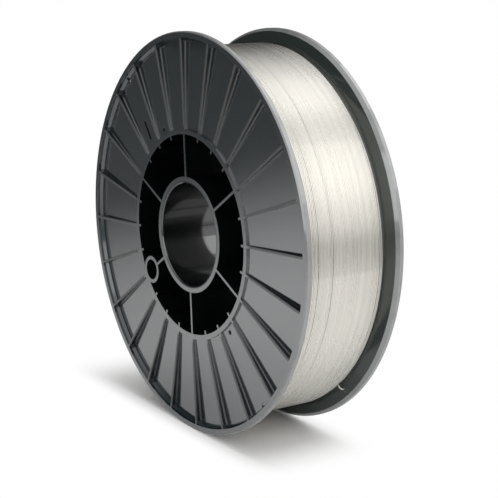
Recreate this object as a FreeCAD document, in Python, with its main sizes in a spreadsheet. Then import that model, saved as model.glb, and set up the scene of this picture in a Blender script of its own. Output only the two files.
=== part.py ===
import FreeCAD, Part
import math
import os
import Sketcher

# Wire spool with a full winding, in millimetres.
# The axle lies along Y, +Z is up, and the origin is the centre of the bore at mid width.
# The -Y face is the front. Angles about the axle run from +X towards +Z.
SIZES = {
    # overall
    "spool_width": 55.0,
    "flange_diameter": 200.0,
    "flange_thickness": 5.5,
    # barrel, bore and webs
    "barrel_outer_diameter": 105.0,
    "barrel_wall": 2.5,
    "bore_diameter": 51.5,
    "bore_tube_wall": 3.25,
    "bore_mouth_bevel": 0.6,
    "web_count": 6,
    "web_thickness": 1.3,
    "web_lead_pitches": 2,
    # drive hole
    "drive_hole_diameter": 10.5,
    "drive_hole_gap": 0.25,
    "drive_tube_wall": 1.85,
    "drive_web_number": 3,
    # rim of each flange
    "lip_width": 3.0,
    "lip_outer_bevel": 0.6,
    "rim_land": 2.5,
    "rim_bevel": 1.5,
    "rim_flare_width": 4.5,
    # recess and ribs of each flange
    "recess_depth_at_hub": 1.0,
    "recess_depth_at_rim": 2.8,
    "recess_foot_bevel": 1.3,
    "rib_count": 24,
    "rib_phase": 3.9,
    "rib_thickness": 1.2,
    "rib_root": 0.3,
    "tick_height": 2.0,
    "tick_thickness": 1.2,
    # holes through both flanges
    "upper_sector": 8,
    "lower_sector": 20,
    "anchor_slot_gap": 5.0,
    "anchor_slot_length": 11.5,
    "anchor_slot_width": 1.8,
    "anchor_hole_gap": 2.8,
    "anchor_hole_diameter": 2.2,
    "end_hole_gap": 0.2,
    "end_hole_length": 3.2,
    "end_hole_width": 2.2,
    # winding and the free end of its wire
    "winding_freeboard": 7.2,
    "winding_shoulder_width": 1.5,
    "winding_shoulder_drop": 1.6,
    "wire_diameter": 0.8,
    "tail_edge_gap": 1.4,
    "tail_bend_radius": 2.0,
    "tail_sunk_depth": 1.5,
    "tail_end_gap": 0.6,
}


class Term:
    """A size known both as a number and as the expression that gives it."""

    def __init__(self, value, text):
        self.value = float(value)
        self.text = text

    @staticmethod
    def of(item):
        return item if isinstance(item, Term) else Term(item, repr(item))

    def __add__(self, other):
        other = Term.of(other)
        return Term(self.value + other.value, f"({self.text} + {other.text})")

    def __sub__(self, other):
        other = Term.of(other)
        return Term(self.value - other.value, f"({self.text} - {other.text})")

    def __mul__(self, other):
        other = Term.of(other)
        return Term(self.value * other.value, f"({self.text} * {other.text})")

    def __truediv__(self, other):
        other = Term.of(other)
        return Term(self.value / other.value, f"({self.text} / {other.text})")

    def __neg__(self):
        return Term(-self.value, f"(-1 * {self.text})")


def cosine(turn):
    return Term(math.cos(math.radians(turn.value)), f"cos({turn.text})")


def sine(turn):
    return Term(math.sin(math.radians(turn.value)), f"sin({turn.text})")


ZERO = Term(0, "0")
FULL_TURN = Term(360, "360")
QUARTER_TURN = Term(90, "90")

doc = FreeCAD.newDocument("wire_spool")


def make_sheet():
    """Write each driving size into the sheet under its own name."""
    sheet = doc.addObject("Spreadsheet::Sheet", "sizes")
    for row, (name, value) in enumerate(SIZES.items(), start=1):
        sheet.set(f"A{row}", name.replace("_", " "))
        sheet.set(f"B{row}", str(value))
        sheet.setAlias(f"B{row}", name)
    doc.recompute()
    return sheet


sizes = make_sheet()


def size(name):
    """A driving size, read from the sheet."""
    return Term(sizes.get(name), f"sizes.{name}")


def make_body(label):
    body = doc.addObject("PartDesign::Body", label)
    body.Label = label
    return body


def origin_item(body, role):
    """The body's own origin plane or axis with this role."""
    return next(item for item in body.Origin.OriginFeatures if item.Role == role)


def section_sketch(body, name):
    """A sketch in the plane of the axle: first coordinate along the axle, second the radius."""
    sketch = body.newObject("Sketcher::SketchObject", name)
    sketch.AttachmentSupport = [(origin_item(body, "YZ_Plane"), "")]
    sketch.MapMode = "FlatFace"
    return sketch


def place_sketch(sketch, plane, base, turn_axis, turn):
    """Set a sketch on one of its body's planes, moved by base and turned, all bound to sizes."""
    sketch.AttachmentSupport = [(plane, "")]
    sketch.MapMode = "FlatFace"
    sketch.AttachmentOffset = FreeCAD.Placement(
        FreeCAD.Vector(*(term.value for term in base)),
        FreeCAD.Rotation(turn_axis, turn.value),
    )
    for letter, term in zip("xyz", base):
        sketch.setExpression(f"AttachmentOffset.Base.{letter}", term.text)
    sketch.setExpression("AttachmentOffset.Rotation.Angle", turn.text)


def face_sketch(body, name, turn=ZERO, height=ZERO):
    """A sketch square to the axle, seen from the front, whose first axis points along turn."""
    sketch = body.newObject("Sketcher::SketchObject", name)
    plane = origin_item(body, "XZ_Plane")
    place_sketch(sketch, plane, (ZERO, ZERO, height), FreeCAD.Vector(0, 0, 1), turn)
    return sketch


def hold(sketch, constraint, term):
    """Add a dimension to a sketch and bind it to its size."""
    index = sketch.addConstraint(constraint)
    sketch.setExpression(f"Constraints[{index}]", term.text)


def hold_point(sketch, geometry, point, across, along):
    """Hold a point of a sketch at its two distances from the sketch's origin."""
    hold(sketch, Sketcher.Constraint("DistanceX", -1, 1, geometry, point, across.value), across)
    hold(sketch, Sketcher.Constraint("DistanceY", -1, 1, geometry, point, along.value), along)


def draw_outline(sketch, corners):
    """A closed outline of straight runs through the given corners."""
    places = [FreeCAD.Vector(across.value, along.value, 0) for across, along in corners]
    last = len(places) - 1
    for index, place in enumerate(places):
        following = 0 if index == last else index + 1
        sketch.addGeometry(Part.LineSegment(place, places[following]), False)
    for index, (across, along) in enumerate(corners):
        following = 0 if index == last else index + 1
        sketch.addConstraint(Sketcher.Constraint("Coincident", index, 2, following, 1))
        hold_point(sketch, index, 1, across, along)


def draw_circle(sketch, diameter, across=ZERO):
    """A circle centred on the sketch's first axis."""
    centre = FreeCAD.Vector(across.value, 0, 0)
    index = sketch.addGeometry(
        Part.Circle(centre, FreeCAD.Vector(0, 0, 1), diameter.value / 2), False
    )
    hold_point(sketch, index, 3, across, ZERO)
    hold(sketch, Sketcher.Constraint("Diameter", index, diameter.value), diameter)


def draw_bar(sketch, inner, outer, thickness):
    """A rectangle along the sketch's first axis, from one radius to another."""
    side = thickness / 2
    draw_outline(sketch, [(inner, -side), (outer, -side), (outer, side), (inner, side)])


def draw_slot(sketch, inner, outer, width):
    """A slot with round ends along the sketch's first axis."""
    side = width / 2
    near = inner + side
    far = outer - side
    axis = FreeCAD.Vector(0, 0, 1)
    near_circle = Part.Circle(FreeCAD.Vector(near.value, 0, 0), axis, side.value)
    far_circle = Part.Circle(FreeCAD.Vector(far.value, 0, 0), axis, side.value)
    quarter = math.radians(QUARTER_TURN.value)
    near_end = sketch.addGeometry(Part.ArcOfCircle(near_circle, quarter, 3 * quarter), False)
    far_end = sketch.addGeometry(Part.ArcOfCircle(far_circle, -quarter, quarter), False)
    upper = sketch.addGeometry(
        Part.LineSegment(
            FreeCAD.Vector(far.value, side.value, 0), FreeCAD.Vector(near.value, side.value, 0)
        ),
        False,
    )
    lower = sketch.addGeometry(
        Part.LineSegment(
            FreeCAD.Vector(near.value, -side.value, 0), FreeCAD.Vector(far.value, -side.value, 0)
        ),
        False,
    )
    for first, first_end, second, second_end in (
        (far_end, 2, upper, 1),
        (upper, 2, near_end, 1),
        (near_end, 2, lower, 1),
        (lower, 2, far_end, 1),
    ):
        sketch.addConstraint(
            Sketcher.Constraint("Tangent", first, first_end, second, second_end)
        )
    hold_point(sketch, near_end, 3, near, ZERO)
    hold_point(sketch, far_end, 3, far, ZERO)
    hold(sketch, Sketcher.Constraint("Radius", near_end, side.value), side)


def draw_bent_path(sketch, start, corner, level, end, bend):
    """An open path along the first axis at one level, then round a bend and up to end."""
    bend_start = corner - bend
    bend_end = level + bend
    centre = FreeCAD.Vector(bend_start.value, bend_end.value, 0)
    circle = Part.Circle(centre, FreeCAD.Vector(0, 0, 1), bend.value)
    quarter = math.radians(QUARTER_TURN.value)
    run = sketch.addGeometry(
        Part.LineSegment(
            FreeCAD.Vector(start.value, level.value, 0),
            FreeCAD.Vector(bend_start.value, level.value, 0),
        ),
        False,
    )
    turn = sketch.addGeometry(Part.ArcOfCircle(circle, -quarter, 0), False)
    rise = sketch.addGeometry(
        Part.LineSegment(
            FreeCAD.Vector(corner.value, bend_end.value, 0),
            FreeCAD.Vector(corner.value, end.value, 0),
        ),
        False,
    )
    sketch.addConstraint(Sketcher.Constraint("Tangent", run, 2, turn, 1))
    sketch.addConstraint(Sketcher.Constraint("Tangent", turn, 2, rise, 1))
    hold_point(sketch, run, 1, start, level)
    hold_point(sketch, turn, 3, bend_start, bend_end)
    hold_point(sketch, rise, 2, corner, end)


def revolve(body, kind, name, sketch):
    """Turn a section about the axle, to add or to cut."""
    feature = body.newObject(kind, name)
    feature.Profile = sketch
    feature.ReferenceAxis = (sketch, ["H_Axis"])
    feature.Angle = FULL_TURN.value
    sketch.Visibility = False
    doc.recompute()
    return feature


def extrude(body, kind, name, sketch, length, both_ways=True):
    """Push a profile along the axle, to add or to cut."""
    feature = body.newObject(kind, name)
    feature.Profile = sketch
    feature.Type = "Length"
    feature.SideType = "Symmetric" if both_ways else "One side"
    feature.setExpression("Length", length.text)
    sketch.Visibility = False
    doc.recompute()
    return feature


def repeat_round(body, name, feature, count):
    """Repeat a feature evenly about the axle."""
    pattern = body.newObject("PartDesign::PolarPattern", name)
    pattern.Originals = [feature]
    pattern.Axis = (origin_item(body, "Y_Axis"), [""])
    pattern.Angle = FULL_TURN.value
    pattern.setExpression("Occurrences", count.text)
    body.Tip = pattern
    doc.recompute()
    return pattern


def mirror_to_back(body, name, feature):
    """Copy a front feature to the back face."""
    mirror = body.newObject("PartDesign::Mirrored", name)
    mirror.Originals = [feature]
    mirror.MirrorPlane = (origin_item(body, "XZ_Plane"), [""])
    body.Tip = mirror
    doc.recompute()
    return mirror


def repeat_round_and_mirror(body, name, feature, count):
    """Repeat a front feature about the axle and copy the ring of them to the back face."""
    multi = body.newObject("PartDesign::MultiTransform", name)
    multi.Originals = [feature]
    ring = body.newObject("PartDesign::PolarPattern", f"{name}_ring")
    ring.Axis = (origin_item(body, "Y_Axis"), [""])
    ring.Angle = FULL_TURN.value
    ring.setExpression("Occurrences", count.text)
    mirror = body.newObject("PartDesign::Mirrored", f"{name}_mirror")
    mirror.MirrorPlane = (origin_item(body, "XZ_Plane"), [""])
    multi.Transformations = [ring, mirror]
    body.Tip = multi
    doc.recompute()
    return multi


half_width = size("spool_width") / 2
half_winding = half_width - size("flange_thickness")
flange_radius = size("flange_diameter") / 2
lip_inner_radius = flange_radius - size("lip_width")
barrel_outer_radius = size("barrel_outer_diameter") / 2
barrel_inner_radius = barrel_outer_radius - size("barrel_wall")
barrel_middle_radius = barrel_outer_radius - size("barrel_wall") / 2
bore_radius = size("bore_diameter") / 2
bore_tube_radius = bore_radius + size("bore_tube_wall")
drive_hole_radius = (
    barrel_inner_radius - size("drive_hole_gap") - size("drive_hole_diameter") / 2
)
end_hole_outer = lip_inner_radius - size("end_hole_gap")
end_hole_inner = end_hole_outer - size("end_hole_length")
rib_pitch = FULL_TURN / size("rib_count")
web_pitch = FULL_TURN / size("web_count")
web_phase = size("rib_phase") + rib_pitch * size("web_lead_pitches")
drive_turn = web_phase + web_pitch * size("drive_web_number")


def sector_turn(number):
    """The angle of the middle of the space that follows the rib with this number."""
    return size("rib_phase") + rib_pitch * (number + 0.5)


def add_barrel_and_flanges(body):
    """The turned form: a thin barrel between two flanges with bevelled, flared rims."""
    land = half_width - size("rim_land")
    bevel_foot = land - size("rim_bevel")
    bevel_radius = flange_radius - size("rim_bevel")
    flare_radius = bevel_radius - size("rim_flare_width")
    lip_bevel = size("lip_outer_bevel")
    front_half = [
        (-half_width, barrel_inner_radius),
        (-half_width, flange_radius - lip_bevel),
        (lip_bevel - half_width, flange_radius),
        (-land, flange_radius),
        (-bevel_foot, bevel_radius),
        (-half_winding, flare_radius),
        (-half_winding, barrel_outer_radius),
    ]
    back_half = [(-across, along) for across, along in reversed(front_half)]
    sketch = section_sketch(body, "spool_section")
    draw_outline(sketch, front_half + back_half)
    revolve(body, "PartDesign::Revolution", "barrel_and_flanges", sketch)


def add_recesses(body):
    """The recess of each outer face, deeper towards the rim, with a bevel along the lip's foot."""
    sketch = section_sketch(body, "recess_section")
    floor_at_hub = half_width - size("recess_depth_at_hub")
    floor_at_rim = half_width - size("recess_depth_at_rim")
    foot = size("recess_foot_bevel")
    draw_outline(
        sketch,
        [
            (-half_width, barrel_outer_radius),
            (-floor_at_hub, barrel_outer_radius),
            (-floor_at_rim, lip_inner_radius - foot),
            (-(floor_at_rim + foot), lip_inner_radius),
            (-half_width, lip_inner_radius),
        ],
    )
    recess = revolve(body, "PartDesign::Groove", "front_recess", sketch)
    mirror_to_back(body, "back_recess", recess)


def add_wire_holes(body):
    """The holes and the slot in both flanges that hold the ends of the wire."""
    width = size("spool_width")
    upper_turn = sector_turn(size("upper_sector"))
    lower_turn = sector_turn(size("lower_sector"))
    for place, turn in (("upper", upper_turn), ("lower", lower_turn)):
        sketch = face_sketch(body, f"{place}_end_hole_outline", turn)
        draw_slot(sketch, end_hole_inner, end_hole_outer, size("end_hole_width"))
        extrude(body, "PartDesign::Pocket", f"{place}_end_hole", sketch, width)
    sketch = face_sketch(body, "anchor_slot_outline", upper_turn)
    inner = barrel_outer_radius + size("anchor_slot_gap")
    draw_slot(sketch, inner, inner + size("anchor_slot_length"), size("anchor_slot_width"))
    extrude(body, "PartDesign::Pocket", "anchor_slot", sketch, width)
    before_upper_turn = sector_turn(size("upper_sector") - 1)
    for place, turn in (("upper", before_upper_turn), ("lower", lower_turn)):
        sketch = face_sketch(body, f"{place}_anchor_hole_outline", turn)
        hole_radius = barrel_outer_radius + size("anchor_hole_gap")
        draw_circle(sketch, size("anchor_hole_diameter"), hole_radius)
        extrude(body, "PartDesign::Pocket", f"{place}_anchor_hole", sketch, width)


def add_webs_and_bore(body):
    """The thin webs across the hollow hub, and the tube that they carry round the bore."""
    sketch = face_sketch(body, "web_outline", web_phase)
    inner = bore_tube_radius - size("bore_tube_wall") / 2
    draw_bar(sketch, inner, barrel_middle_radius, size("web_thickness"))
    web = extrude(body, "PartDesign::Pad", "web", sketch, size("spool_width"))
    repeat_round(body, "webs", web, size("web_count"))
    sketch = face_sketch(body, "bore_tube_outline")
    draw_circle(sketch, bore_tube_radius * 2)
    draw_circle(sketch, size("bore_diameter"))
    extrude(body, "PartDesign::Pad", "bore_tube", sketch, size("spool_width"))


def bevel_bore(body):
    """The bevel round each mouth of the bore."""
    sketch = section_sketch(body, "bore_bevel_section")
    bevel = size("bore_mouth_bevel")
    draw_outline(
        sketch,
        [
            (-half_width, bore_radius),
            (bevel - half_width, bore_radius),
            (-half_width, bore_radius + bevel),
        ],
    )
    groove = revolve(body, "PartDesign::Groove", "front_bore_bevel", sketch)
    mirror_to_back(body, "back_bore_bevel", groove)


def add_ticks(body):
    """The low ribs along the inside of the barrel, in line with the ribs of the faces."""
    sketch = face_sketch(body, "tick_outline", size("rib_phase"))
    inner = barrel_inner_radius - size("tick_height")
    draw_bar(sketch, inner, barrel_middle_radius, size("tick_thickness"))
    tick = extrude(body, "PartDesign::Pad", "tick", sketch, size("spool_width"))
    repeat_round(body, "ticks", tick, size("rib_count"))


def add_drive_hole(body):
    """The tube with the hole for the drive pin, set into one web against the barrel."""
    hole = size("drive_hole_diameter")
    sketch = face_sketch(body, "drive_tube_outline", drive_turn)
    draw_circle(sketch, hole + size("drive_tube_wall") * 2, drive_hole_radius)
    extrude(body, "PartDesign::Pad", "drive_tube", sketch, size("spool_width"))
    sketch = face_sketch(body, "drive_hole_outline", drive_turn)
    draw_circle(sketch, hole, drive_hole_radius)
    extrude(body, "PartDesign::Pocket", "drive_hole", sketch, size("spool_width"))


def add_ribs(body):
    """The radial ribs of both faces, from the barrel's end to the lip, level with both."""
    height = size("recess_depth_at_rim") + size("rib_root")
    sketch = face_sketch(body, "rib_outline", size("rib_phase"), half_width - height)
    outer = lip_inner_radius + size("lip_width") / 2
    draw_bar(sketch, barrel_middle_radius, outer, size("rib_thickness"))
    rib = extrude(body, "PartDesign::Pad", "rib", sketch, height, both_ways=False)
    repeat_round_and_mirror(body, "ribs", rib, size("rib_count"))


def make_spool():
    body = make_body("spool")
    add_barrel_and_flanges(body)
    add_recesses(body)
    add_wire_holes(body)
    add_webs_and_bore(body)
    bevel_bore(body)
    add_ticks(body)
    add_drive_hole(body)
    add_ribs(body)
    return body


def add_wire_end(body, crown_radius):
    """The wire's free end, which rises straight out of the winding and bends through its hole.

    Its path lies in the plane of the axle and the hole. The first axis of that plane points
    away from the axle, and the second runs along it.
    """
    start = crown_radius - size("tail_sunk_depth")
    hole_radius = (end_hole_inner + end_hole_outer) / 2
    hole_turn = sector_turn(size("lower_sector"))
    edge_place = half_winding - size("tail_edge_gap")
    end_place = half_width - size("tail_end_gap")

    path = body.newObject("Sketcher::SketchObject", "wire_end_path")
    plane = origin_item(body, "XY_Plane")
    place_sketch(path, plane, (ZERO, ZERO, ZERO), FreeCAD.Vector(0, 1, 0), -hole_turn)
    draw_bent_path(path, start, hole_radius, edge_place, end_place, size("tail_bend_radius"))

    section = body.newObject("Sketcher::SketchObject", "wire_end_section")
    plane = origin_item(body, "YZ_Plane")
    base = (edge_place, start * sine(hole_turn), start * cosine(hole_turn))
    place_sketch(section, plane, base, FreeCAD.Vector(1, 0, 0), -hole_turn)
    draw_circle(section, size("wire_diameter"))

    wire_end = body.newObject("PartDesign::AdditivePipe", "wire_end")
    wire_end.Profile = section
    wire_end.Spine = (path, ["Edge1", "Edge2", "Edge3"])
    doc.recompute()


def make_winding():
    """The full winding, a ring that fills the barrel and is drawn in at both top edges."""
    body = make_body("wire_winding")
    crown_radius = flange_radius - size("winding_freeboard")
    crown_side = half_winding - size("winding_shoulder_width")
    shoulder_radius = crown_radius - size("winding_shoulder_drop")
    sketch = section_sketch(body, "winding_section")
    draw_outline(
        sketch,
        [
            (-half_winding, barrel_outer_radius),
            (-half_winding, shoulder_radius),
            (-crown_side, crown_radius),
            (crown_side, crown_radius),
            (half_winding, shoulder_radius),
            (half_winding, barrel_outer_radius),
        ],
    )
    revolve(body, "PartDesign::Revolution", "winding", sketch)
    add_wire_end(body, crown_radius)
    return body


def check_document():
    for item in doc.Objects:
        if "Invalid" in item.State or "Error" in item.State:
            raise RuntimeError(f"{item.Name} did not build: {item.State}")


def export(bodies):
    """Check each piece and write it to its own file."""
    os.makedirs("parts", exist_ok=True)
    for body in bodies:
        shape = body.Shape
        if shape.isNull() or not shape.isValid() or len(shape.Solids) != 1:
            raise RuntimeError(f"{body.Label} is not one valid solid")
        shape.exportStep(f"parts/{body.Label}.step")
        print(body.Label, "volume", round(shape.Volume), "faces", len(shape.Faces))


pieces = [make_spool(), make_winding()]
doc.recompute()
check_document()
export(pieces)
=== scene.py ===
"""Looks of a full spool of welding wire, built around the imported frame.

The origin is the centre of the bore, the axle is Y, and the face that the photograph shows is -Y.
Lengths are in metres and angles in degrees, unless a name says otherwise.
"""

import logging
import math
from dataclasses import dataclass
from enum import Enum
from typing import Any

import bmesh
import bpy
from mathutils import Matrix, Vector

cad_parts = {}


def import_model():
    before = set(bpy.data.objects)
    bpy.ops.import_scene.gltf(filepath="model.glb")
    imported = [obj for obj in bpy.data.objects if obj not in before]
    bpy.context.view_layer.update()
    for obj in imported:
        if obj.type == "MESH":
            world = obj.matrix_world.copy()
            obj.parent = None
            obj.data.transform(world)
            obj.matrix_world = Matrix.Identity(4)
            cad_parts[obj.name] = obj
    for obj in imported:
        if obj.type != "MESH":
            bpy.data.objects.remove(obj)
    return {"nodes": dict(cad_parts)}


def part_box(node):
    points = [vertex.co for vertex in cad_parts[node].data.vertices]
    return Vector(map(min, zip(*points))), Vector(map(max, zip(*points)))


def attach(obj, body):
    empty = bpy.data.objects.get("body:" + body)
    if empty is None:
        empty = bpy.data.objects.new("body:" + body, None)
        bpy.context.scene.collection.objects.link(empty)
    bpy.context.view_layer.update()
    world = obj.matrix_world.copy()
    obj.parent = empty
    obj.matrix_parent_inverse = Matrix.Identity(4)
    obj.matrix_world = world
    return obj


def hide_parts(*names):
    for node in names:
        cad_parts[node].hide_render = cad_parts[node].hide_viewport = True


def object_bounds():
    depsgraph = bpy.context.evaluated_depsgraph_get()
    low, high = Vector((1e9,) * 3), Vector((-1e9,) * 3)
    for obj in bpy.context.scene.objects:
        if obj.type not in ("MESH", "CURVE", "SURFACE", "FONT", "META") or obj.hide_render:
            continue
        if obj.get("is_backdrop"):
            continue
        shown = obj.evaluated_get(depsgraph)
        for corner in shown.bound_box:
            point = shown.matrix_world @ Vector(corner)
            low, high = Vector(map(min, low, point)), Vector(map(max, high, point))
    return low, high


Colour = tuple[float, float, float]
Span = tuple[float, float]

MM = 0.001
FULL_TURN = 360.0
AXLE = (0.0, 1.0, 0.0)
OFF_AXLE = (1.0, 0.0, 1.0)
WHITE: Colour = (1.0, 1.0, 1.0)

# Angles go round the axle from +X towards +Z. A turn of wire starts at the foot and crosses to the next
# lane between these pairs of angles. Each layer leaves a narrow gap at these places along the axle.
TURN_ATTRIBUTE = "turn"
FOOT_ANGLE = -90.0
CROSSINGS = ((-4.0, 12.0), (34.0, 47.0))
GAP_PLACES = (-7.7 * MM, -15.6 * MM)

log = logging.getLogger("spool")


class Signal:
    """One output of a node tree, on which Python's operators add Math nodes."""

    def __init__(self, tree: "NodeBuilder", socket: bpy.types.NodeSocket) -> None:
        """Keep the builder and the socket."""
        self.tree = tree
        self.socket = socket

    def output(self, name: str) -> "Signal":
        """Another output of the same node."""
        return Signal(self.tree, self.socket.node.outputs[name])

    def _math(self, operation: str, *values: Any) -> "Signal":
        """A Math node on these values."""
        return self.tree.node("ShaderNodeMath", dict(enumerate(values)), operation=operation)

    def __add__(self, other: Any) -> "Signal":
        """self + other."""
        return self._math("ADD", self, other)

    def __radd__(self, other: Any) -> "Signal":
        """other + self."""
        return self._math("ADD", other, self)

    def __sub__(self, other: Any) -> "Signal":
        """self - other."""
        return self._math("SUBTRACT", self, other)

    def __rsub__(self, other: Any) -> "Signal":
        """other - self."""
        return self._math("SUBTRACT", other, self)

    def __mul__(self, other: Any) -> "Signal":
        """self * other."""
        return self._math("MULTIPLY", self, other)

    def __rmul__(self, other: Any) -> "Signal":
        """other * self."""
        return self._math("MULTIPLY", other, self)

    def __truediv__(self, other: Any) -> "Signal":
        """self / other."""
        return self._math("DIVIDE", self, other)

    def __rtruediv__(self, other: Any) -> "Signal":
        """other / self."""
        return self._math("DIVIDE", other, self)

    def floor(self) -> "Signal":
        """The whole part."""
        return self._math("FLOOR", self)

    def sine(self) -> "Signal":
        """The sine of an angle in radians."""
        return self._math("SINE", self)

    def cosine(self) -> "Signal":
        """The cosine of an angle in radians."""
        return self._math("COSINE", self)

    def absolute(self) -> "Signal":
        """The value without its sign."""
        return self._math("ABSOLUTE", self)

    def rise(self, start: Any, end: Any, low: float = 0.0, high: float = 1.0) -> "Signal":
        """A smooth step from low to high while the value goes from start to end, and level outside."""
        inputs = {"Value": self, "From Min": start, "From Max": end, "To Min": low, "To Max": high}
        return self.tree.node("ShaderNodeMapRange", inputs, interpolation_type="SMOOTHSTEP")


def rgba(colour: Any) -> Any:
    """A plain colour with its alpha, or a Signal as it is."""
    return colour if isinstance(colour, Signal) else (*colour, 1.0)


class NodeBuilder:
    """Adds nodes to one shader, world or geometry tree."""

    NUMBER_RESULTS = ("DOT_PRODUCT", "LENGTH", "DISTANCE")

    def __init__(self, tree: bpy.types.NodeTree) -> None:
        """Start with an empty tree."""
        self.tree = tree
        tree.nodes.clear()

    def node(
        self,
        kind: str,
        inputs: dict | None = None,
        output: int = 0,
        **settings: Any,
    ) -> Signal | None:
        """Add one node, its settings first and then its sockets.

        Args:
            kind: Blender's name for the node's type.
            inputs: the value or Signal of each socket, by the socket's name or number.
            output: the number of the output to return.
            **settings: the node's own settings.

        Returns:
            The chosen output, or None where the node has none.
        """
        made = self.tree.nodes.new(kind)
        for name, value in settings.items():
            setattr(made, name, value)
        for key, value in (inputs or {}).items():
            if isinstance(value, Signal):
                self.tree.links.new(value.socket, made.inputs[key])
            else:
                made.inputs[key].default_value = value
        return Signal(self, made.outputs[output]) if made.outputs else None

    def vector(self, x: Any, y: Any, z: Any) -> Signal:
        """A vector from three values."""
        return self.node("ShaderNodeCombineXYZ", {0: x, 1: y, 2: z})

    def part(self, vector: Signal, number: int) -> Signal:
        """One value of a vector: 0 for x, 1 for y and 2 for z."""
        return self.node("ShaderNodeSeparateXYZ", {0: vector}, output=number)

    def vector_math(self, operation: str, *vectors: Any) -> Signal:
        """A Vector Math node. Its result is a number where the operation gives one."""
        output = int(operation in self.NUMBER_RESULTS)
        return self.node("ShaderNodeVectorMath", dict(enumerate(vectors)), output, operation=operation)

    def mix_vectors(self, factor: Any, first: Signal, second: Signal) -> Signal:
        """A blend of two vectors, through the Mix node's vector sockets."""
        return self.node("ShaderNodeMix", {0: factor, 4: first, 5: second}, output=1, data_type="VECTOR")

    def mix_colours(self, factor: Any, first: Any, second: Any) -> Signal:
        """A blend of two colours, through the Mix node's colour sockets."""
        inputs = {0: factor, 6: rgba(first), 7: rgba(second)}
        return self.node("ShaderNodeMix", inputs, output=2, data_type="RGBA")

    def noise_along(self, where: Signal, detail: float, scale: float = 1.0) -> Signal:
        """Noise from 0 to 1 along a line."""
        inputs = {"W": where, "Scale": scale, "Detail": detail}
        return self.node("ShaderNodeTexNoise", inputs, noise_dimensions="1D")


@dataclass(frozen=True)
class Mottle:
    """A pattern of noise: the size of its patches, and the detail and roughness within them."""

    size: float
    detail: float = 2.0
    roughness: float = 0.5


class ShaderTree(NodeBuilder):
    """A new material's tree."""

    def __init__(self, name: str) -> None:
        """Make the material, with an empty tree.

        Args:
            name: the material's name.
        """
        self.material = bpy.data.materials.new(name)
        self.material.use_nodes = True
        super().__init__(self.material.node_tree)

    def place(self) -> Signal:
        """Object coordinates, in metres in the frame."""
        return self.node("ShaderNodeTexCoord").output("Object")

    def noise(self, where: Signal, pattern: Mottle) -> Signal:
        """Noise from 0 to 1 over the places of the frame.

        Args:
            where: the place.
            pattern: the size and the detail of the noise.

        Returns:
            The noise at that place.
        """
        inputs = {
            "Vector": where,
            "Scale": 1 / pattern.size,
            "Detail": pattern.detail,
            "Roughness": pattern.roughness,
        }
        return self.node("ShaderNodeTexNoise", inputs, noise_dimensions="3D")

    def finish(self, shader: Signal) -> bpy.types.Material:
        """Send a shader to the surface and return the material."""
        self.node("ShaderNodeOutputMaterial", {"Surface": shader})
        return self.material


def add_object(name: str, data: bpy.types.ID) -> bpy.types.Object:
    """Put new mesh, curve, light or camera data into the scene.

    Args:
        name: the object's name.
        data: what the object shows.

    Returns:
        The object, at the origin.
    """
    made = bpy.data.objects.new(name, data)
    bpy.context.scene.collection.objects.link(made)
    return made


def as_plain_mesh(source: bpy.types.Object, name: str) -> bpy.types.Object:
    """Put a plain mesh in place of an object with modifiers or a bevelled curve.

    Args:
        source: the object, which is removed.
        name: the new object's name.

    Returns:
        The new object, at the origin.
    """
    evaluated = source.evaluated_get(bpy.context.evaluated_depsgraph_get())
    mesh = bpy.data.meshes.new_from_object(evaluated)
    bpy.data.objects.remove(source)
    mesh.name = name
    return add_object(name, mesh)


class SpoolPoint:
    """A shaded point of the spool, with masks by its radius and its depth.

    The radius is its distance from the axle, and the depth is its distance from mid width.
    """

    def __init__(self, tree: ShaderTree, border: float) -> None:
        """Measure the point.

        Args:
            tree: the material's tree.
            border: the width over which a mask rises from 0 to 1.
        """
        self.tree = tree
        self.border = border
        self.place = tree.place()
        self.flat_place = tree.vector_math("MULTIPLY", self.place, OFF_AXLE)
        self.radius = tree.vector_math("LENGTH", self.flat_place)
        self.depth = tree.part(self.place, 1).absolute()

    def outside(self, radius: float) -> Signal:
        """1 where the point's radius is larger."""
        return self.radius.rise(radius - self.border, radius)

    def beyond(self, depth: float) -> Signal:
        """1 where the point's depth is larger."""
        return self.depth.rise(depth - self.border, depth)

    def outward(self) -> Signal:
        """The way from the axle to the point."""
        return self.tree.vector_math("NORMALIZE", self.flat_place)

    def around(self) -> Signal:
        """The way round the axle at the point."""
        return self.tree.vector_math("NORMALIZE", self.tree.vector_math("CROSS_PRODUCT", self.place, AXLE))


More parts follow.
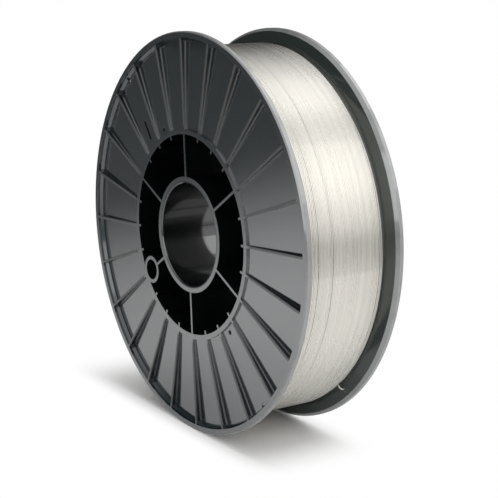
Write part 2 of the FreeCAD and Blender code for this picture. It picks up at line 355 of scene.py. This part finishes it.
@dataclass(frozen=True)
class MouldedPlastic:
    """Black moulded plastic, a little cloudy, under a strong gloss, with pale rims of wear and painted
    sheen.

    The hub, its cells, the bore and the ribs' sides are painted darker, as shade. The ribs' tops are
    painted paler, as a highlight, and the flanges' inner faces paler, as painted light.
    The gloss is full on the outer sides of the flanges. It is less in the bore, in the gap where the
    wire is wound, in the corners under the lips, on the rims and on the ribs. The hub's cells have none.
    """

    # The base is nearly black, because most of what the moulding shows is its gloss.
    colour: Colour = (0.0060, 0.0150, 0.0190)
    cloudy_colour: Colour = (0.0095, 0.0195, 0.0240)
    # Painted shade: the hub, its cells, the bore and the ribs' sides are darker than the plastic elsewhere.
    hub_and_side_shade_colour: Colour = (0.0020, 0.0026, 0.0030)
    # Partly wear and partly painted sheen: the rims facing outwards are paler, in patches.
    worn_and_sheen_colour: Colour = (0.30, 0.305, 0.305)
    # Painted light: the flanges' inner faces, where the wire is wound, are paler than the plastic
    # elsewhere.
    gap_painted_light_colour: Colour = (0.024, 0.033, 0.030)
    # Painted highlight: the ribs' tops are paler than the plastic elsewhere.
    top_highlight_colour: Colour = (0.105, 0.112, 0.111)

    # The gloss, and how much of it each region has.
    roughness: float = 0.24
    uneven_roughness: float = 0.12
    gloss_index: float = 3.3
    gloss_roughness: float = 0.07
    soft_gloss_level: float = 0.3
    bore_gloss: float = 0.40
    cell_gloss: float = 0.0
    gap_gloss: float = 0.22
    rim_gloss: float = 0.3
    corner_gloss: float = 0.4
    side_gloss: float = 0.05
    top_gloss: float = 0.20

    # The patterns in the plastic, and the wear and painted sheen of its rims.
    clouds: Mottle = Mottle(28 * MM, detail=3.0)
    flow: Mottle = Mottle(6 * MM, detail=4.0, roughness=0.6)
    grain: Mottle = Mottle(0.5 * MM)
    grain_height: float = 0.010 * MM
    grain_strength: float = 0.5
    cloud_share: float = 0.7
    cloud_edge: Span = (0.3, 0.7)
    wear_and_sheen_edge: Span = (0.0, 0.6)
    least_wear_and_sheen: float = 0.6

    # The rounding of the edges, and what counts as a rib's side or an outward rim.
    edge_radius: float = 0.35 * MM
    edge_samples: int = 6
    rib_radius: float = 2.0 * MM
    rib_samples: int = 8
    side_facing: Span = (0.80, 0.96)
    rim_facing: Span = (0.4, 0.9)
    rim_border: float = 1.0 * MM

    # Where the regions end: radii from the axle and depths from mid width.
    bore_radius: float = 27 * MM
    barrel_radius: float = 51 * MM
    rim_radius: float = 95.3 * MM
    wall_radius: float = 97.5 * MM
    top_radii: Span = (54.5 * MM, 96.8 * MM)
    face_depth: float = 27.3 * MM
    gap_depth: float = 23.8 * MM
    border: float = 0.3 * MM

    def material(self) -> bpy.types.Material:
        """Make the finish.

        Returns:
            The plastic as a material.
        """
        tree = ShaderTree("spool_plastic")
        point = SpoolPoint(tree, self.border)
        flow = tree.noise(point.place, self.flow)
        rounded = self._rounded(point)
        sides = self._shaded_rib_sides(point, rounded)
        tops = self._highlit_rib_tops(point)
        rim = self._outward_rim(point)
        rib_loss = sides * (1.0 - self.side_gloss) * (1.0 - tops) + tops * (1.0 - self.top_gloss)
        # The rims are paler in patches, partly as wear and partly as a painted sheen.
        wear_and_sheen = rim * flow.rise(*self.wear_and_sheen_edge, self.least_wear_and_sheen)
        bump_inputs = {
            "Strength": self.grain_strength,
            "Distance": self.grain_height,
            "Height": tree.noise(point.place, self.grain),
            "Normal": rounded,
        }
        shader_inputs = {
            "Base Color": tree.mix_colours(wear_and_sheen, self._before_wear_and_sheen(point, flow, sides, tops), self.worn_and_sheen_colour),
            "Roughness": self.roughness + self.uneven_roughness * flow,
            "Specular IOR Level": self.soft_gloss_level,
            "Coat Weight": self._gloss(point, rim) * (1.0 - rib_loss),
            "Coat Roughness": self.gloss_roughness,
            "Coat IOR": self.gloss_index,
            "Normal": tree.node("ShaderNodeBump", bump_inputs),
        }
        return tree.finish(tree.node("ShaderNodeBsdfPrincipled", shader_inputs))

    def _before_wear_and_sheen(self, point: SpoolPoint, flow: Signal, sides: Signal, tops: Signal) -> Signal:
        """Colour each region of the plastic, before the wear and painted sheen of its rims.

        Args:
            point: the shaded point.
            flow: the finer noise of the plastic.
            sides: the mask of the ribs' sides, which get painted shade.
            tops: the mask of the ribs' tops, which get a painted highlight.

        Returns:
            The colour.
        """
        tree = point.tree
        clouds = tree.noise(point.place, self.clouds)
        tone = clouds * self.cloud_share + flow * (1.0 - self.cloud_share)
        plain = tree.mix_colours(tone.rise(*self.cloud_edge), self.colour, self.cloudy_colour)
        # Painted light on the flanges' inner faces.
        plain = tree.mix_colours(self._in_gap(point), plain, self.gap_painted_light_colour)
        # Painted shade in the hub, its cells, the bore and on the ribs' sides.
        plain = tree.mix_colours(self._in_hub(point) + sides, plain, self.hub_and_side_shade_colour)
        # Painted highlight on the ribs' tops.
        return tree.mix_colours(tops, plain, self.top_highlight_colour)

    def _gloss(self, point: SpoolPoint, rim: Signal) -> Signal:
        """Take each region's loss from the full gloss, without the ribs' own.

        Args:
            point: the shaded point.
            rim: the mask of the rims.

        Returns:
            The gloss, from 0 to 1.
        """
        in_gap = self._in_gap(point)
        in_bore = 1.0 - point.outside(self.bore_radius)
        regions = (
            (self._in_hub(point) * (1.0 - in_bore), self.cell_gloss),
            (in_gap, self.gap_gloss),
            (in_bore, self.bore_gloss),
            (self._in_corner(point), self.corner_gloss),
            (rim * (1.0 - in_gap), self.rim_gloss),
        )
        gloss = 1.0
        for mask, level in regions:
            gloss = gloss - mask * (1.0 - level)
        return gloss

    def _rounded(self, point: SpoolPoint) -> Signal:
        """Round every edge by its normals, and the ribs of the flanges more.

        Args:
            point: the shaded point.

        Returns:
            The normal.
        """
        tree = point.tree
        small = tree.node("ShaderNodeBevel", {"Radius": self.edge_radius}, samples=self.edge_samples)
        large = tree.node("ShaderNodeBevel", {"Radius": self.rib_radius}, samples=self.rib_samples)
        return tree.mix_vectors(self._in_recess(point), small, large)

    def _in_hub(self, point: SpoolPoint) -> Signal:
        """1 inside the barrel, in its cells and in the bore."""
        return (1.0 - point.outside(self.barrel_radius)) * (1.0 - point.beyond(self.face_depth))

    def _in_gap(self, point: SpoolPoint) -> Signal:
        """1 between the flanges, where the wire is wound."""
        return point.outside(self.barrel_radius) * (1.0 - point.beyond(self.gap_depth))

    def _in_recess(self, point: SpoolPoint) -> Signal:
        """1 between the barrel and the rim on the outer sides of the flanges."""
        ring = point.outside(self.barrel_radius) - point.outside(self.rim_radius)
        return ring * point.beyond(self.gap_depth)

    def _in_corner(self, point: SpoolPoint) -> Signal:
        """1 where a flange's outer side meets the wall of its lip."""
        ring = point.outside(self.rim_radius) - point.outside(self.wall_radius)
        return ring * (point.beyond(self.gap_depth) - point.beyond(self.face_depth))

    def _highlit_rib_tops(self, point: SpoolPoint) -> Signal:
        """1 on the ribs' narrow outer faces, level with the lip; they get a painted highlight."""
        ring = point.outside(self.top_radii[0]) - point.outside(self.top_radii[1])
        return ring * point.beyond(self.face_depth)

    def _shaded_rib_sides(self, point: SpoolPoint, normal: Signal) -> Signal:
        """1 on the flat middle of the ribs' sides, where the rounded normal looks round the axle; they get
        painted shade.
        """
        aside = point.tree.vector_math("DOT_PRODUCT", normal, point.around()).absolute()
        return aside.rise(*self.side_facing) * self._in_recess(point)

    def _outward_rim(self, point: SpoolPoint) -> Signal:
        """Find the faces near the rim that look away from the axle.

        Args:
            point: the shaded point.

        Returns:
            The mask.
        """
        normal = point.tree.node("ShaderNodeNewGeometry").output("Normal")
        facing = point.tree.vector_math("DOT_PRODUCT", normal, point.outward())
        near_rim = point.radius.rise(self.rim_radius - self.rim_border, self.rim_radius)
        return facing.rise(*self.rim_facing) * near_rim


def crossing_shares() -> list[Span]:
    """Each crossing's start and end, as shares of a turn from the foot."""
    return [tuple((angle - FOOT_ANGLE) / FULL_TURN for angle in ends) for ends in CROSSINGS]


@dataclass(frozen=True)
class DrawnWire:
    """Bright drawn wire, whose turns differ a little in tone and gloss, and are painted darker where they
    cross, as shade.
    """

    colour: Colour = (0.90, 0.875, 0.82)
    dull_colour: Colour = (0.81, 0.79, 0.735)
    crossing_shade_colour: Colour = (0.50, 0.495, 0.46)
    crossing_shade_depths: Span = (0.20, 0.10)
    crossing_edge: float = 0.004
    crossing_soft_edge: float = 0.020
    roughness: float = 0.22
    uneven_roughness: float = 0.12
    lane_stride: float = 0.37
    lane_detail: float = 3.0
    streaks_per_turn: float = 5.0
    streak_detail: float = 4.0
    patches: Mottle = Mottle(30 * MM)
    tone_shares: tuple[float, float, float] = (0.5, 0.3, 0.2)
    tone_edge: Span = (0.35, 0.65)

    def material(self) -> bpy.types.Material:
        """Make the finish.

        Returns:
            The wire as a material.
        """
        tree = ShaderTree("wire")
        turn = tree.node("ShaderNodeAttribute", attribute_name=TURN_ATTRIBUTE).output("Fac")
        lane = tree.noise_along(turn.floor() * self.lane_stride, self.lane_detail)
        streaks = tree.noise_along(turn, self.streak_detail, self.streaks_per_turn)
        patches = tree.noise(tree.place(), self.patches)
        tone = sum(noise * share for noise, share in zip((lane, streaks, patches), self.tone_shares))
        plain = tree.mix_colours(tone.rise(*self.tone_edge), self.dull_colour, self.colour)
        crossing = self._crossing_shade(turn - turn.floor())
        shader_inputs = {
            # Painted shade: the wire is darker where its turns cross.
            "Base Color": tree.mix_colours(crossing, plain, self.crossing_shade_colour),
            "Metallic": 1.0,
            "Roughness": self.roughness + self.uneven_roughness * streaks,
        }
        return tree.finish(tree.node("ShaderNodeBsdfPrincipled", shader_inputs))

    def _crossing_shade(self, share: Signal) -> Signal:
        """Mark where a turn crosses to its next lane, for its painted shade, each crossing by its own
        depth.

        Args:
            share: how much of its turn the wire has made.

        Returns:
            The mask.
        """
        zones = []
        for (start, end), depth in zip(crossing_shares(), self.crossing_shade_depths):
            begun = share.rise(start, start + self.crossing_edge)
            zones.append((begun - share.rise(end - self.crossing_soft_edge, end)) * depth)
        return sum(zones)


class GeometryTree(NodeBuilder):
    """A geometry tree with named inputs, run once on an empty mesh."""

    SOCKETS = {int: "NodeSocketInt", float: "NodeSocketFloat"}

    def __init__(self, name: str, values: dict[str, int | float]) -> None:
        """Make the tree and its inputs.

        Args:
            name: the tree's name.
            values: the value of each named input.
        """
        group = bpy.data.node_groups.new(name, "GeometryNodeTree")
        super().__init__(group)
        self.values = values
        self.identifiers = {}
        for label, value in values.items():
            kind = self.SOCKETS[type(value)]
            socket = group.interface.new_socket(label, in_out="INPUT", socket_type=kind)
            self.identifiers[label] = socket.identifier
        group.interface.new_socket("Geometry", in_out="OUTPUT", socket_type="NodeSocketGeometry")
        given = self.node("NodeGroupInput")
        self.inputs = {label: given.output(label) for label in values}

    def baked(self, geometry: Signal, name: str, material: bpy.types.Material) -> bpy.types.Object:
        """Finish the tree, run it and keep its result as a plain mesh.

        Args:
            geometry: the geometry that the tree makes.
            name: the new object's name.
            material: the material of every face.

        Returns:
            An object at the origin, with no modifier.
        """
        smooth = self.node("GeometryNodeSetShadeSmooth", {"Geometry": geometry})
        real = self.node("GeometryNodeRealizeInstances", {"Geometry": smooth})
        dressed = self.node("GeometryNodeSetMaterial", {"Geometry": real, "Material": material})
        self.node("NodeGroupOutput", {0: dressed})
        carrier_name = name + "_carrier"
        carrier = add_object(carrier_name, bpy.data.meshes.new(carrier_name))
        modifier = carrier.modifiers.new(self.tree.name, "NODES")
        modifier.node_group = self.tree
        for label, value in self.values.items():
            modifier[self.identifiers[label]] = value
        return as_plain_mesh(carrier, name)


class Lay(Enum):
    """The way in which a layer's turns step along the axle."""

    FORWARD = 1
    BACKWARD = -1


@dataclass(frozen=True)
class Unrest:
    """How far the wire strays from its line, how fast that changes, and the seed's share in it."""

    reach: float
    changes_per_turn: float
    seed_stride: float
    detail: float = 2.0

    def stray(self, tree: GeometryTree, turn: Signal) -> Signal:
        """How far the wire is off its line after this many turns, to either side."""
        where = turn * self.changes_per_turn + tree.inputs["Seed"] * self.seed_stride
        return (tree.noise_along(where, self.detail) * 2.0 - 1.0) * self.reach


@dataclass(frozen=True)
class WireLayer:
    """One layer of turns, each of which keeps its lane but for two short crossings."""

    name: str
    radius: float
    half_width: float
    pitch: float
    wire_radius: float
    lay: Lay
    steps: int
    sides: int
    seed: int
    wander: Unrest = Unrest(0.03 * MM, changes_per_turn=1.7, seed_stride=31.0)
    sway: Unrest = Unrest(0.02 * MM, changes_per_turn=0.9, seed_stride=57.0)
    crossing_dip: float = 0.10 * MM
    gap_width: float = 0.17 * MM

    def build(self, material: bpy.types.Material) -> bpy.types.Object:
        """Wind the layer.

        Args:
            material: the wire's material.

        Returns:
            The layer as one tube.
        """
        turns = int((2 * self.half_width - len(GAP_PLACES) * self.gap_width) / self.pitch)
        tree = GeometryTree(self.name, {
            "Points": turns * self.steps + 1,
            "Steps": self.steps,
            "Sides": self.sides,
            "Radius": self.radius,
            "Start": -self.half_width * self.lay.value,
            "Pitch": self.pitch * self.lay.value,
            "Wire radius": self.wire_radius,
            "Seed": self.seed,
        })
        given = tree.inputs
        turn = tree.node("GeometryNodeInputIndex") / given["Steps"]
        line = tree.node("GeometryNodeMeshLine", {"Count": given["Points"]})
        inputs = {"Geometry": line, "Name": TURN_ATTRIBUTE, "Value": turn}
        named = tree.node("GeometryNodeStoreNamedAttribute", inputs, data_type="FLOAT", domain="POINT")
        inputs = {"Geometry": named, "Position": self._place(tree, turn)}
        bent = tree.node("GeometryNodeSetPosition", inputs)
        path = tree.node("GeometryNodeMeshToCurve", {"Mesh": bent})
        inputs = {"Resolution": given["Sides"], "Radius": given["Wire radius"]}
        ring = tree.node("GeometryNodeCurvePrimitiveCircle", inputs, mode="RADIUS")
        inputs = {"Curve": path, "Profile Curve": ring, "Fill Caps": True}
        return tree.baked(tree.node("GeometryNodeCurveToMesh", inputs), self.name, material)

    def _place(self, tree: GeometryTree, turn: Signal) -> Signal:
        """Place each point of the wire's line.

        Args:
            tree: the layer's tree.
            turn: how many turns the wire has made.

        Returns:
            The point's place.
        """
        given = tree.inputs
        lanes = turn.floor()
        share = turn - lanes
        axle = given["Start"] + (lanes + self._crossed(share)) * given["Pitch"]
        near = self.pitch / 2
        for place in GAP_PLACES:
            axle = axle + axle.rise(place - near, place + near, 0.0, self.gap_width) * self.lay.value
        reach = given["Radius"] + self.wander.stray(tree, turn) - self._dip(share) * self.crossing_dip
        angle = turn * (2 * math.pi) + math.radians(FOOT_ANGLE)
        axle = axle + self.sway.stray(tree, turn)
        return tree.vector(reach * angle.cosine(), axle, reach * angle.sine())

    def _crossed(self, share: Signal) -> Signal:
        """How much of its step a turn has made, from 0 to 1."""
        step = 1 / len(CROSSINGS)
        return sum(share.rise(start, end, high=step) for start, end in crossing_shares())

    def _dip(self, share: Signal) -> Signal:
        """Mark the crossings, where the wire dips between the turns below.

        Args:
            share: how much of its turn the wire has made.

        Returns:
            1 in the middle of a crossing and 0 outside them.
        """
        dips = []
        for start, end in crossing_shares():
            middle = (start + end) / 2
            dips.append(share.rise(start, middle) - share.rise(middle, end))
        return sum(dips)


@dataclass(frozen=True)
class WireEnd:
    """The wire's free end, which rises out of the winding and bends through a hole in the back flange."""

    crown_radius: float
    name: str = "wire_end"
    wire_radius: float = 0.4 * MM
    hole_angle: float = -48.6
    hole_radius: float = 95.2 * MM
    sunk_depth: float = 1.5 * MM
    rise_place: float = 20.6 * MM
    bend_radius: float = 2.0 * MM
    bend_angle: float = 90.0
    end_place: float = 26.9 * MM
    bend_steps: int = 10
    round_steps: int = 4

    def build(self, material: bpy.types.Material) -> bpy.types.Object:
        """Bend the wire.

        Args:
            material: the wire's material.

        Returns:
            The wire's end as a closed rod.
        """
        curve = bpy.data.curves.new(self.name, "CURVE")
        curve.dimensions = "3D"
        curve.bevel_depth = self.wire_radius
        curve.bevel_resolution = self.round_steps
        curve.use_fill_caps = True
        path = self._path()
        line = curve.splines.new("POLY")
        line.points.add(len(path) - 1)
        for point, place in zip(line.points, path):
            point.co = (*place, 1.0)
        piece = as_plain_mesh(add_object(self.name + "_line", curve), self.name)
        piece.data.materials.clear()
        piece.data.materials.append(material)
        return piece

    def _path(self) -> list[Vector]:
        """Lay out the wire's middle, from inside the winding to the back face.

        Returns:
            The places along it.
        """
        turn = math.radians(self.hole_angle)
        outward = Vector((math.cos(turn), 0.0, math.sin(turn)))
        along = Vector(AXLE)
        centre = outward * (self.hole_radius - self.bend_radius)
        centre = centre + along * (self.rise_place + self.bend_radius)
        path = [outward * (self.crown_radius - self.sunk_depth) + along * self.rise_place]
        for step in range(self.bend_steps + 1):
            swing = math.radians(self.bend_angle * step / self.bend_steps)
            path.append(centre + (outward * math.sin(swing) - along * math.cos(swing)) * self.bend_radius)
        path.append(outward * self.hole_radius + along * self.end_place)
        return path


@dataclass
class Winding:
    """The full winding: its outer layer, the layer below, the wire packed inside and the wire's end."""

    finish: DrawnWire
    # The turns are a little thicker than the 0.8 mm wire, so that they touch.
    wire_radius: float = 0.42 * MM
    pitch: float = 0.8 * MM
    row_height: float = math.sqrt(3) / 2
    shoulder_width: float = 1.5 * MM
    barrel_radius: float = 52.5 * MM
    flange_clearance: float = 0.03 * MM
    core_segments: int = 144

    def build(self) -> None:
        """Make every piece of the winding, in place of the plain one."""
        low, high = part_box("wire_winding")
        crown_radius = high.z
        half_width = -low.y
        top_radius = crown_radius - self.wire_radius
        lower_radius = top_radius - self.pitch * self.row_height
        top_layer = WireLayer(
            name="wire_outer_turns",
            radius=top_radius,
            half_width=half_width - self.shoulder_width - self.wire_radius,
            pitch=self.pitch,
            wire_radius=self.wire_radius,
            lay=Lay.FORWARD,
            steps=150,
            sides=8,
            seed=3,
        )
        lower_layer = WireLayer(
            name="wire_second_turns",
            radius=lower_radius,
            half_width=half_width - self.wire_radius,
            pitch=self.pitch,
            wire_radius=self.wire_radius,
            lay=Lay.BACKWARD,
            steps=96,
            sides=6,
            seed=8,
        )
        material = self.finish.material()
        pieces = [
            top_layer.build(material),
            lower_layer.build(material),
            self._core(lower_radius, half_width - self.flange_clearance, material),
            WireEnd(crown_radius).build(material),
        ]
        for piece in pieces:
            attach(piece, "root")
            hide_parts("wire_winding")
            log.info("%s: %d faces", piece.name, len(piece.data.polygons))

    def _core(self, radius: float, half_width: float, material: bpy.types.Material) -> bpy.types.Object:
        """Turn the wire that is packed below the turns that show.

        Args:
            radius: the ring's outer radius.
            half_width: half of its width.
            material: the wire's material.

        Returns:
            One ring about the barrel.
        """
        section = (
            (self.barrel_radius, -half_width),
            (radius, -half_width),
            (radius, half_width),
            (self.barrel_radius, half_width),
        )
        mesh = bmesh.new()
        rings = []
        for number in range(self.core_segments):
            angle = 2 * math.pi * number / self.core_segments
            ring = [mesh.verts.new((r * math.cos(angle), y, r * math.sin(angle))) for r, y in section]
            rings.append(ring)
        for ring, following in zip(rings, rings[1:] + rings[:1]):
            for near in range(len(section)):
                far = (near + 1) % len(section)
                mesh.faces.new((ring[near], ring[far], following[far], following[near]))
        bmesh.ops.recalc_face_normals(mesh, faces=mesh.faces)
        data = bpy.data.meshes.new("wire_packed_layers")
        mesh.to_mesh(data)
        mesh.free()
        data.materials.append(material)
        return add_object(data.name, data)


@dataclass
class SpoolMoulding:
    """The spool itself, one moulding."""

    finish: MouldedPlastic

    def build(self, node: bpy.types.Object) -> None:
        """Dress the frame's own spool.

        Args:
            node: the spool's object in the frame.
        """
        node.data.materials.clear()
        node.data.materials.append(self.finish.material())
        log.info("%s: %d faces", node.name, len(node.data.polygons))


def look_at_origin(watcher: bpy.types.Object, azimuth: float, elevation: float, distance: float) -> None:
    """Put a lamp or a camera in its place, and turn it towards the origin.

    Args:
        watcher: the lamp or camera.
        azimuth: 0 is in front, on -Y, and 90 is on +X.
        elevation: the angle above the level.
        distance: the distance from the origin.
    """
    turn = math.radians(azimuth)
    rise = math.radians(elevation)
    back = Vector((math.sin(turn) * math.cos(rise), -math.cos(turn) * math.cos(rise), math.sin(rise)))
    watcher.location = back * distance
    watcher.rotation_euler = (-back).to_track_quat("-Z", "Y").to_euler()


@dataclass(frozen=True)
class Lamp:
    """A soft square lamp that looks at the object, and shows in its gloss only where mirrored is set."""

    name: str
    azimuth: float
    elevation: float
    distance: float
    side: float
    watts: float
    mirrored: bool

    def build(self) -> None:
        """Hang the lamp."""
        data = bpy.data.lights.new(self.name, "AREA")
        data.size = self.side
        data.energy = self.watts
        lamp = add_object(self.name, data)
        lamp.visible_glossy = self.mirrored
        look_at_origin(lamp, self.azimuth, self.elevation, self.distance)


@dataclass
class Studio:
    """A plain pale floor and a white backdrop, under four lamps and a wide light from the right and above.

    The camera sees white all round, but for the floor near the object's foot, which keeps the shadow.
    Everything else sees the floor painted darker far away and past a line through the foot towards -X and
    +Y, as shade, and a room that is dark outside the wide light and a little darker at the horizon.
    """

    # The floor, its painted shade past a line towards -X and +Y and far away, and how far the camera sees
    # the foot's shadow.
    floor_half_size: float = 6.0
    floor_colour: Colour = (0.80, 0.80, 0.80)
    shaded_side_way: tuple[float, float, float] = (-0.862, 0.506, 0.0)
    shaded_side_fade: Span = (0.0, 0.45)
    shaded_side_level: float = 0.15
    far_shade_fade: Span = (0.25, 1.0)
    far_shade_level: float = 0.6
    foot_right: Span = (0.045, 0.085)
    foot_left: Span = (0.090, 0.140)
    foot_sides: Span = (0.022, 0.038)

    # The wide light of the backdrop, and the lamps.
    light_way: tuple[float, float, float] = (0.62, 0.15, 0.72)
    light_edge: Span = (-0.05, 0.50)
    light_strength: float = 0.90
    room_strength: float = 0.05
    horizon_dip: float = 0.15
    horizon_width: float = 0.14
    lamps: tuple[Lamp, ...] = (
        Lamp("overhead_lamp", azimuth=90, elevation=87, distance=1.6, side=0.8, watts=6.4, mirrored=False),
        Lamp("low_lamp", azimuth=30, elevation=18, distance=1.6, side=0.8, watts=1.7, mirrored=True),
        Lamp("back_lamp", azimuth=123, elevation=36, distance=1.6, side=1.0, watts=3.5, mirrored=True),
        Lamp("rear_lamp", azimuth=180, elevation=60, distance=1.6, side=0.8, watts=2.5, mirrored=True),
    )

    def build(self, floor_height: float) -> None:
        """Make the floor, the backdrop and the lamps.

        Args:
            floor_height: the height of the surface that the object stands on.
        """
        self._floor(floor_height)
        self._backdrop()
        for lamp in self.lamps:
            lamp.build()

    def _floor(self, height: float) -> None:
        """Lay the floor.

        Args:
            height: its height.
        """
        half = self.floor_half_size
        signs = ((-1, -1), (1, -1), (1, 1), (-1, 1))
        corners = [(x * half, y * half, height) for x, y in signs]
        mesh = bpy.data.meshes.new("studio_floor")
        mesh.from_pydata(corners, [], [(0, 1, 2, 3)])
        tree = ShaderTree("studio_floor")
        seen = tree.node("ShaderNodeLightPath").output("Is Camera Ray")
        place = tree.place()
        table = self._floor_with_painted_shade(tree, place, 1.0 - seen, height)
        lit = tree.node("ShaderNodeBsdfDiffuse", {"Color": tree.mix_colours(seen, table, WHITE)})
        white = tree.node("ShaderNodeEmission", {"Color": rgba(WHITE), "Strength": 1.0})
        inputs = {0: self._off_foot(tree, place) * seen, 1: lit, 2: white}
        mesh.materials.append(tree.finish(tree.node("ShaderNodeMixShader", inputs)))
        add_object("studio_floor", mesh)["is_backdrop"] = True

    def _floor_with_painted_shade(self, tree: ShaderTree, place: Signal, unseen: Signal, height: float) -> Signal:
        """Paint shade on the floor far away and past a line through the foot towards -X and +Y, where the
        camera doesn't see it.

        Args:
            tree: the floor's tree.
            place: the place on the floor.
            unseen: 1 for all but the camera.
            height: the floor's height.

        Returns:
            The floor's colour, with its painted shade.
        """
        far_shade_colour = tuple(self.far_shade_level * part for part in self.floor_colour)
        shaded_side_colour = tuple(self.shaded_side_level * part for part in self.floor_colour)
        away = tree.vector_math("DISTANCE", place, (0.0, 0.0, height))
        forward = tree.vector_math("DOT_PRODUCT", place, self.shaded_side_way)
        # Painted shade: for all but the camera, the floor is darker far away and towards -X and +Y.
        colour = tree.mix_colours(away.rise(*self.far_shade_fade) * unseen, self.floor_colour, far_shade_colour)
        return tree.mix_colours(forward.rise(*self.shaded_side_fade) * unseen, colour, shaded_side_colour)

    def _off_foot(self, tree: ShaderTree, place: Signal) -> Signal:
        """Mark the floor outside the object's foot and its shadow.

        Args:
            tree: the floor's tree.
            place: the place on the floor.

        Returns:
            1 outside and 0 at the foot.
        """
        sideways = tree.part(place, 0)
        along = sideways.rise(*self.foot_right) + (0.0 - sideways).rise(*self.foot_left)
        across = tree.part(place, 1).absolute().rise(*self.foot_sides)
        return 1.0 - (1.0 - along) * (1.0 - across)

    def _backdrop(self) -> None:
        """Make a world that is white to the camera and a wide soft light to everything else."""
        world = bpy.data.worlds.new("studio_backdrop")
        world.use_nodes = True
        tree = NodeBuilder(world.node_tree)
        seen = tree.node("ShaderNodeLightPath").output("Is Camera Ray")
        way = tree.node("ShaderNodeTexCoord").output("Generated")
        facing = tree.vector_math("DOT_PRODUCT", way, Vector(self.light_way).normalized())
        height = tree.part(way, 2)
        level = height.rise(-self.horizon_width, 0.0) - height.rise(0.0, self.horizon_width)
        light = facing.rise(*self.light_edge, self.room_strength, self.light_strength)
        light = light * (1.0 - level * self.horizon_dip)
        strength = seen + (1.0 - seen) * light
        glow = tree.node("ShaderNodeBackground", {"Color": rgba(WHITE), "Strength": strength})
        tree.node("ShaderNodeOutputWorld", {"Surface": glow})
        bpy.context.scene.world = world


@dataclass
class PhotoCamera:
    """The photograph's camera, aimed at the centre of the bore."""

    # Fitted to the outlines of the flanges, the bore and the barrel.
    azimuth: float = 57.008
    elevation: float = 11.610
    distance: float = 683.49 * MM
    focal_pixels: float = 1350.65
    picture_pixels: int = 498
    centre_pixel: Span = (234.54, 228.89)
    sensor: float = 36.0

    def build(self) -> None:
        """Set up the scene's camera."""
        data = bpy.data.cameras.new("photo_camera")
        data.sensor_width = self.sensor
        data.lens = self.focal_pixels / self.picture_pixels * self.sensor
        middle = self.picture_pixels / 2
        data.shift_x = (middle - self.centre_pixel[0]) / self.picture_pixels
        data.shift_y = (self.centre_pixel[1] - middle) / self.picture_pixels
        camera = add_object("photo_camera", data)
        look_at_origin(camera, self.azimuth, self.elevation, self.distance)
        bpy.context.scene.camera = camera


def main() -> None:
    """Build the looks around the frame."""
    logging.basicConfig(level=logging.INFO, format="%(name)s: %(message)s")
    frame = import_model()
    cad_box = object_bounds()
    bpy.context.scene.view_settings.view_transform = "Standard"
    SpoolMoulding(MouldedPlastic()).build(frame["nodes"]["spool"])
    Winding(DrawnWire()).build()
    Studio().build(floor_height=cad_box[0].z)
    PhotoCamera().build()


if __name__ == "__main__":
    main()
